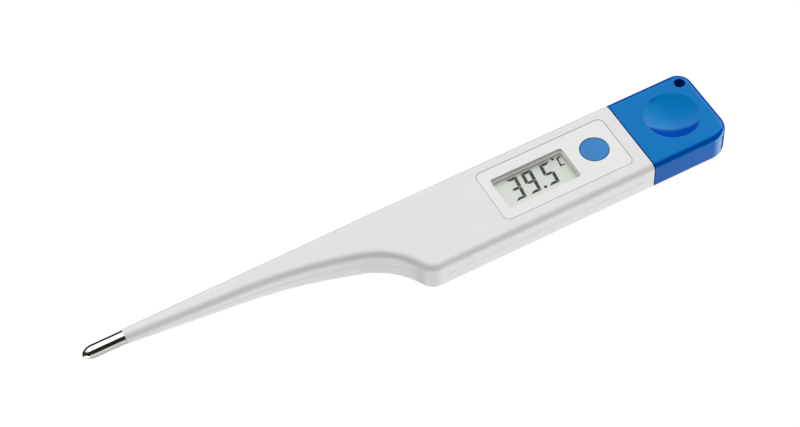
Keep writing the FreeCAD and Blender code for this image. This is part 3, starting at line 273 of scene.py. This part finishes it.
# ---- materials ---------------------------------------------------------------------------
lens_low, lens_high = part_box("display_lens")
LAP = Vector((1.0 * MM, 1.0 * MM, 0))
window_low, window_high = lens_low + LAP, lens_high - LAP
CASE = (0.86, 0.86, 0.86)
looks = {
    "case_white": solid("moulded_white", CASE, 0.32, vary=0.010, scratch=0.06, scratch_tone=0.95,
                        specular=0.4, dirt=0.04, depth=6e-7, wave_depth=1.2e-6),
    "panel_white": solid("polished_white", (0.895, 0.90, 0.885), 0.16, vary=0.01, depth=5e-7,
                         wave_depth=1.5e-6, scratch=0.3, scratch_tone=0.95, specular=0.5),
    # The cap's open edge at the split line gets painted shade: a dark band with no gloss.
    "cap_blue": solid("moulded_blue", (0.0005, 0.074, 0.49), 0.09, vary=0.04, rough_spread=0.025,
                      scratch=0.2, scratch_tone=1.25, specular=0.8, sheen_tint=(0.0, 1.0, 1.0),
                      depth=3e-7, wave_depth=8e-7, painted_shade_x=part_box("battery_cap")[0].x),
    "button_blue": solid("button_blue", (0.030, 0.110, 0.52), 0.10, vary=0.03, rough_spread=0.03,
                         specular=1.0, sheen_tint=(0.2, 1.0, 1.0), depth=3e-7, wave_depth=8e-7),
    "clear_lens": clear("clear_acrylic", (0.99, 1.0, 0.985), 0.06, 0.6, 0.02,
                        (window_low, window_high)),
    "lcd_glass": clear("display_glass", (0.98, 0.985, 0.97), 0.08, 0.4, 0.0),
    "foil": brushed("reflector_foil", (0.75, 0.76, 0.72), 0.35, 0),
    "zebra_rubber": solid("connector_rubber", (0.70, 0.42, 0.42), 0.7, vary=0.08),
    "frame_white": solid("frame_white", (0.72, 0.72, 0.71), 0.5, vary=0.02),
    "carrier_grey": solid("carrier_grey", (0.50, 0.52, 0.54), 0.48, vary=0.03, scratch=0.4,
                          scratch_tone=0.9),
    "board_green": circuit("solder_mask"),
    "epoxy_black": solid("potting_black", (0.012, 0.012, 0.012), 0.3, vary=0.2, wave_depth=8e-6),
    "chip_grey": solid("chip_ceramic", (0.10, 0.10, 0.11), 0.55, vary=0.12),
    "spring_steel": brushed("spring_steel", (0.62, 0.61, 0.58), 0.24, 0),
    "battery_steel": brushed("battery_can", (0.66, 0.66, 0.66), 0.2, 1),
    "tip_steel": brushed("polished_steel", (0.78, 0.77, 0.74), 0.07, 0, depth=2e-7, spread=0.05),
    "seal_rubber": solid("seal_rubber", (0.03, 0.03, 0.032), 0.75, vary=0.15),
    "sensor_bead": solid("sensor_glass", (0.05, 0.04, 0.035), 0.2, vary=0.2, coat=0.3),
    "lead_enamel": solid("lead_enamel", (0.35, 0.09, 0.02), 0.3, vary=0.12, coat=0.4),
    "potting_grey": solid("potting_grey", (0.22, 0.22, 0.23), 0.4, vary=0.08, wave_depth=6e-6),
    "buzzer_brass": brushed("buzzer_brass", (0.78, 0.55, 0.22), 0.22, 1),
    "buzzer_ceramic": solid("buzzer_ceramic", (0.72, 0.69, 0.60), 0.6, vary=0.05),
    "wire_red": solid("wire_red", (0.45, 0.02, 0.015), 0.38, vary=0.08),
    "wire_black": solid("wire_black", (0.015, 0.015, 0.016), 0.38, vary=0.15),
    "ink": solid("segment_ink", (0.014, 0.016, 0.014), 0.5, vary=0.2, specular=0.1),
    "film": solid("display_film", (0.915, 0.91, 0.885), 0.55, vary=0.012, specular=0.1,
                  grain=0.09 * MM),
}
slot_of = {item["node"]: item["material_slot"] for item in frame["record"]["subparts"]}
for name, thing in nodes.items():
    thing.data.materials.clear()
    thing.data.materials.append(looks[slot_of[name]])


# ---- pieces ------------------------------------------------------------------------------
def settle(mesh, name, look, body="case"):
    """Turn a finished mesh into a piece that rides on one body."""
    data = bpy.data.meshes.new(name)
    mesh.to_mesh(data)
    mesh.free()
    piece = bpy.data.objects.new(name, data)
    bpy.context.scene.collection.objects.link(piece)
    data.materials.append(looks[look])
    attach(piece, body)
    return piece


def plate(name, outlines, bottom, thick, look, body="case"):
    """One piece made of flat plates with the given outlines, resting at height `bottom`."""
    mesh = bmesh.new()
    for outline in outlines:
        ring = [mesh.verts.new((x, y, bottom)) for x, y in outline]
        face = mesh.faces.new(ring)
        made = bmesh.ops.extrude_face_region(mesh, geom=[face])["geom"]
        lifted = [item for item in made if isinstance(item, bmesh.types.BMVert)]
        bmesh.ops.translate(mesh, verts=lifted, vec=(0, 0, thick))
    bmesh.ops.recalc_face_normals(mesh, faces=mesh.faces)
    return settle(mesh, name, look, body)


def segments(left, low, wide, tall, lit, side=0.73 * MM, level=0.62 * MM, gap=0.045 * MM, lean=0.13):
    """Outlines of the lit bars of one seven-bar figure, with bevelled ends and slanted sides.

    `side` is how wide an upright bar is and `level` how thick a level one is."""
    right, high, middle = wide, tall, tall / 2
    half, tuck = level / 2, side * 0.3
    bars = {
        "top": [(gap, high), (right - gap, high), (right - gap - side, high - level),
                (gap + side, high - level)],
        "bottom": [(gap + side, level), (right - gap - side, level), (right - gap, 0), (gap, 0)],
        "middle": [(gap + tuck, middle), (gap + side, middle + half),
                   (right - gap - side, middle + half), (right - gap - tuck, middle),
                   (right - gap - side, middle - half), (gap + side, middle - half)],
        "upper_left": [(0, high - gap), (side, high - level - gap), (side, middle + half + gap),
                       (tuck, middle + gap), (0, middle + gap * 2)],
        "lower_left": [(0, gap), (0, middle - gap * 2), (tuck, middle - gap),
                       (side, middle - half - gap), (side, level + gap)],
        "upper_right": [(right, high - gap), (right, middle + gap * 2),
                        (right - tuck, middle + gap), (right - side, middle + half + gap),
                        (right - side, high - level - gap)],
        "lower_right": [(right, gap), (right - side, level + gap),
                        (right - side, middle - half - gap), (right - tuck, middle - gap),
                        (right, middle - gap * 2)],
    }
    return [[(left + x + lean * y, low + y) for x, y in bars[name]] for name in lit]


def rim(name, low, high, wide, corner, bottom, thick, look):
    """A flat frame that lies just inside the box low..high, with round corners and a bevelled top."""
    mesh = bmesh.new()
    corner_steps = 6
    loops = []
    for inset, z in ((0.0, bottom), (wide, bottom), (wide, bottom + thick * 0.5),
                     (wide * 0.7, bottom + thick), (0.0, bottom + thick)):
        turn_radius = max(corner - inset, corner * 0.3)
        loop = []
        for x, y, start in ((high.x, low.y, -90), (high.x, high.y, 0), (low.x, high.y, 90),
                            (low.x, low.y, 180)):
            inward_x = -1 if x == high.x else 1
            inward_y = -1 if y == high.y else 1
            for step in range(corner_steps + 1):
                angle = math.radians(start + step * 90 / corner_steps)
                loop.append(mesh.verts.new((
                    x + inward_x * (inset + turn_radius) + turn_radius * math.cos(angle),
                    y + inward_y * (inset + turn_radius) + turn_radius * math.sin(angle), z)))
        loops.append(loop)
    for inner, outer in zip(loops, loops[1:] + loops[:1]):
        count = len(inner)
        for index in range(count):
            after = (index + 1) % count
            mesh.faces.new((inner[index], inner[after], outer[after], outer[index]))
    bmesh.ops.recalc_face_normals(mesh, faces=mesh.faces)
    return settle(mesh, name, look)


def dome(name, low, high, sheet, look, slot, count=40):
    """A round dome of sheet metal that fills the box low..high."""
    middle, reach, rise = (low + high) / 2, (high.x - low.x) / 2, high.z - low.z
    bands = 8

    def arc(wide, tall):
        ball = (wide ** 2 + tall ** 2) / (2 * tall)
        return [(wide * part / bands,
                 math.sqrt(ball ** 2 - (wide * part / bands) ** 2) - ball + tall)
                for part in range(bands + 1)]

    mesh = bmesh.new()
    rings = []
    for radius, height in arc(reach, rise) + arc(reach - 1.5 * sheet, rise - sheet)[::-1]:
        turns = [2 * math.pi * step / count for step in range(count if radius > 0 else 1)]
        rings.append([mesh.verts.new((middle.x + radius * math.cos(turn),
                                      middle.y + radius * math.sin(turn), low.z + height))
                      for turn in turns])
    for first, second in zip(rings, rings[1:]):
        for step in range(count):
            corners = (first[step % len(first)], first[(step + 1) % count % len(first)],
                       second[(step + 1) % count % len(second)], second[step % len(second)])
            face = mesh.faces.new(list(dict.fromkeys(corners)))
            face.smooth = True
    bmesh.ops.recalc_face_normals(mesh, faces=mesh.faces)
    return settle(mesh, name, look)


def disc(x, y, radius, count=20):
    turns = [2 * math.pi * step / count for step in range(count)]
    return [(x + radius * math.cos(turn), y + radius * math.sin(turn)) for turn in turns]


cell_low, cell_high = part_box("lcd_cell")
FILM_THICK = 0.025 * MM
INK_THICK = 0.01 * MM
FIGURE_BELOW = 2.02 * MM
FIGURE_WIDE = 2.47 * MM
FIGURE_TALL = 5.7 * MM
film_z = cell_high.z + 0.03 * MM
ink_z = film_z + 0.005 * MM
edge = 0.1 * MM
film_outline = [(cell_low.x + edge, cell_low.y + edge), (cell_high.x - edge, cell_low.y + edge),
                (cell_high.x - edge, cell_high.y - edge), (cell_low.x + edge, cell_high.y - edge)]
plate("lcd_film", [film_outline], film_z - FILM_THICK, FILM_THICK, "film")

mid_x, mid_y = (lens_low.x + lens_high.x) / 2, (lens_low.y + lens_high.y) / 2
rim("window_rim", window_low, window_high, 0.22 * MM, 0.6 * MM, lens_high.z + 0.003 * MM, 0.16 * MM,
    "panel_white")

# A real switch dome gives way under the button, keeping 0.42 of its height at the end of the press.
# Here it is drawn at rest as a round sheet dome in the CAD dome's place, with a mesh of its own.
pressed = dome("switch_dome", *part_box("snap_dome"), 0.1 * MM, "spring_steel", "spring_steel")
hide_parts("snap_dome")
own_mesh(pressed)

# The reading. Each figure has its left edge, in mm from the middle of the lens, and its lit bars.
figures = {
    "digit_tens": (-5.69, ("top", "upper_right", "middle", "lower_right", "bottom")),
    "digit_units": (-2.19, ("top", "upper_left", "upper_right", "middle", "lower_right", "bottom")),
    "digit_tenths": (2.16, ("top", "upper_left", "middle", "lower_right", "bottom")),
}
for name, (x, lit) in figures.items():
    outlines = segments(mid_x + x * MM, mid_y - FIGURE_BELOW, FIGURE_WIDE, FIGURE_TALL, lit)
    plate(name, outlines, ink_z, INK_THICK, "ink")
for name, x, y, radius in (("decimal_point", 1.35, -1.75, 0.35), ("degree_dot", 6.25, 3.7, 0.33)):
    outline = disc(mid_x + x * MM, mid_y + y * MM, radius * MM)
    plate(name, [outline], ink_z, INK_THICK, "ink")
letter = segments(mid_x + 6.7 * MM, mid_y + 1.2 * MM, 1.25 * MM, 2.45 * MM,
                  ("top", "upper_left", "lower_left", "bottom"), 0.41 * MM, 0.36 * MM, 0.0)
plate("unit_letter", letter, ink_z, INK_THICK, "ink")


# ---- floor, light and camera -------------------------------------------------------------
def white_stage(name, mesh):
    """Plain white surroundings that only the camera sees, so that they don't light the object."""
    data = bpy.data.meshes.new(name)
    mesh.to_mesh(data)
    mesh.free()
    thing = bpy.data.objects.new(name, data)
    bpy.context.scene.collection.objects.link(thing)
    s = Shader(name + "_white")
    glow = s.node("ShaderNodeEmission")
    glow.inputs["Color"].default_value = (1, 1, 1, 1)
    glow.inputs["Strength"].default_value = 1.05
    data.materials.append(s.finish(glow.outputs[0]))
    # It lights nothing, so it isn't sampled as a light.
    s.material.cycles.emission_sampling = "NONE"
    thing.visible_diffuse = False
    thing.visible_glossy = False
    thing.visible_transmission = False
    thing.visible_shadow = False


def surroundings():
    """A floor just below the object and a round backdrop, both `half` metres in reach."""
    half = 2.9
    floor_z = -0.02 * MM
    mesh = bmesh.new()
    corners = [(-half, -half), (half, -half), (half, half), (-half, half)]
    mesh.faces.new([mesh.verts.new((x, y, floor_z)) for x, y in corners])
    white_stage("floor", mesh)
    mesh = bmesh.new()
    bmesh.ops.create_uvsphere(mesh, u_segments=32, v_segments=16, radius=half)
    white_stage("backdrop", mesh)


def studio(lights):
    """Soft studio light from the world's background, which no lamp adds to.

    Each row of `lights` holds the tones met going round the X axis, from below, up behind, over the
    top and down the front. The rows follow each other from the -X side to the +X side, and
    `crossings` are the stretches of X over which one row passes into the next."""
    crossings = ((-0.78, -0.64), (-0.56, -0.36), (0.32, 0.60))
    world = bpy.data.worlds.new("studio")
    bpy.context.scene.world = world
    world.use_nodes = True
    tree = world.node_tree
    tree.nodes.clear()

    def node(kind, **settings):
        made = tree.nodes.new(kind)
        for key, value in settings.items():
            setattr(made, key, value)
        return made

    place = node("ShaderNodeTexCoord")
    split = node("ShaderNodeSeparateXYZ")
    tree.links.new(place.outputs["Generated"], split.inputs[0])
    front = node("ShaderNodeMath", operation="MULTIPLY")
    tree.links.new(split.outputs["Y"], front.inputs[0])
    front.inputs[1].default_value = -1.0
    turn = node("ShaderNodeMath", operation="ARCTAN2")
    tree.links.new(front.outputs[0], turn.inputs[0])
    tree.links.new(split.outputs["Z"], turn.inputs[1])
    share = node("ShaderNodeMapRange")
    share.inputs["From Min"].default_value = -math.pi
    share.inputs["From Max"].default_value = math.pi
    tree.links.new(turn.outputs[0], share.inputs["Value"])
    ramps = []
    for row in lights:
        ramp = node("ShaderNodeValToRGB")
        stops = ramp.color_ramp.elements
        while len(stops) > 1:
            stops.remove(stops[-1])
        for number, (degrees, colour) in enumerate(row):
            at = (degrees + 180) / 360
            stop = stops[0] if number == 0 else stops.new(at)
            stop.position = at
            stop.color = (*colour, 1)
        tree.links.new(share.outputs[0], ramp.inputs[0])
        ramps.append(ramp.outputs[0])
    before = ramps[0]
    for ramp, (low, high) in zip(ramps[1:], crossings):
        side = node("ShaderNodeMapRange", interpolation_type="SMOOTHSTEP")
        side.inputs["From Min"].default_value = low
        side.inputs["From Max"].default_value = high
        tree.links.new(split.outputs["X"], side.inputs["Value"])
        mix = node("ShaderNodeMix", data_type="RGBA")
        tree.links.new(side.outputs[0], mix.inputs[0])
        tree.links.new(before, mix.inputs[6])
        tree.links.new(ramp, mix.inputs[7])
        before = mix.outputs[2]
    light = node("ShaderNodeBackground")
    tree.links.new(before, light.inputs["Color"])
    end = node("ShaderNodeOutputWorld")
    tree.links.new(light.outputs[0], end.inputs["Surface"])


def room(box, box_edge, table_edge, table, under, strip, tint=(1.0, 1.0, 1.0)):
    """One row of the studio: a soft box overhead, dark behind and in front, and a table low in front.

    Angles are in degrees round the X axis: 0 is straight up, 90 is level in front and -90 level
    behind. `box`, `table`, `strip` and `under` are tones: `strip` is the part of the table from 136
    to 156 degrees, and `under` what lies past it. `tint` colours those three."""
    box_start, strip_start, strip_end = -58, 136, 156
    blur, wide_blur = 3, 4
    dark, lit = (0.02, 0.02, 0.02), (box, box, box)
    table_tone, under_tone, strip_tone = [tuple(tone * part for part in tint)
                                          for tone in (table, under, strip)]
    return [(-180, under_tone), (-172, dark),
            (box_start - blur, dark), (box_start + blur, lit),
            (box_edge - wide_blur, lit), (box_edge + wide_blur, dark),
            (table_edge - wide_blur, dark), (table_edge + wide_blur, table_tone),
            (strip_start - blur, table_tone), (strip_start + blur, strip_tone),
            (strip_end - blur, strip_tone), (strip_end + blur, under_tone), (180, under_tone)]


def camera(aim, heading, rise, roll, distance, lens):
    """A camera that looks at `aim`, facing `heading` and tilted down by `rise`.

    `heading` is clockwise from +Y as seen from above, and `roll` turns the camera about its line of
    sight. Angles are in degrees, `distance` is in metres and `lens` in millimetres."""
    h, e = math.radians(heading), math.radians(rise)
    ahead = Vector((math.sin(h) * math.cos(e), math.cos(h) * math.cos(e), -math.sin(e)))
    right = Vector((math.cos(h), -math.sin(h), 0))
    up = right.cross(ahead)
    turn = Matrix.Rotation(math.radians(roll), 3, ahead)
    right, up = turn @ right, turn @ up
    data = bpy.data.cameras.new("camera")
    data.lens = lens
    data.sensor_width = 36.0
    data.clip_start = 0.01
    eye = bpy.data.objects.new("camera", data)
    bpy.context.scene.collection.objects.link(eye)
    axes = Matrix((right, up, -ahead)).transposed()
    eye.matrix_world = Matrix.Translation(aim - ahead * distance) @ axes.to_4x4()
    bpy.context.scene.camera = eye


surroundings()
studio([
    room(box=0.04, box_edge=8, table_edge=92, table=1.3, under=0.04, strip=0.4),
    room(box=1.05, box_edge=11, table_edge=120, table=5.6, under=2.4, strip=5.4),
    room(box=1.78, box_edge=15, table_edge=84, table=0.80, under=0.8, strip=0.5,
         tint=(1.0, 0.98, 0.93)),
    room(box=2.15, box_edge=2, table_edge=92, table=4.5, under=1.8, strip=1.8),
])
camera(aim=Vector((-0.000166, 0.006066, 0.0072)), heading=26.260, rise=52.880, roll=3.087,
       distance=0.47635, lens=105.86)
bpy.context.scene.view_settings.view_transform = "Standard"
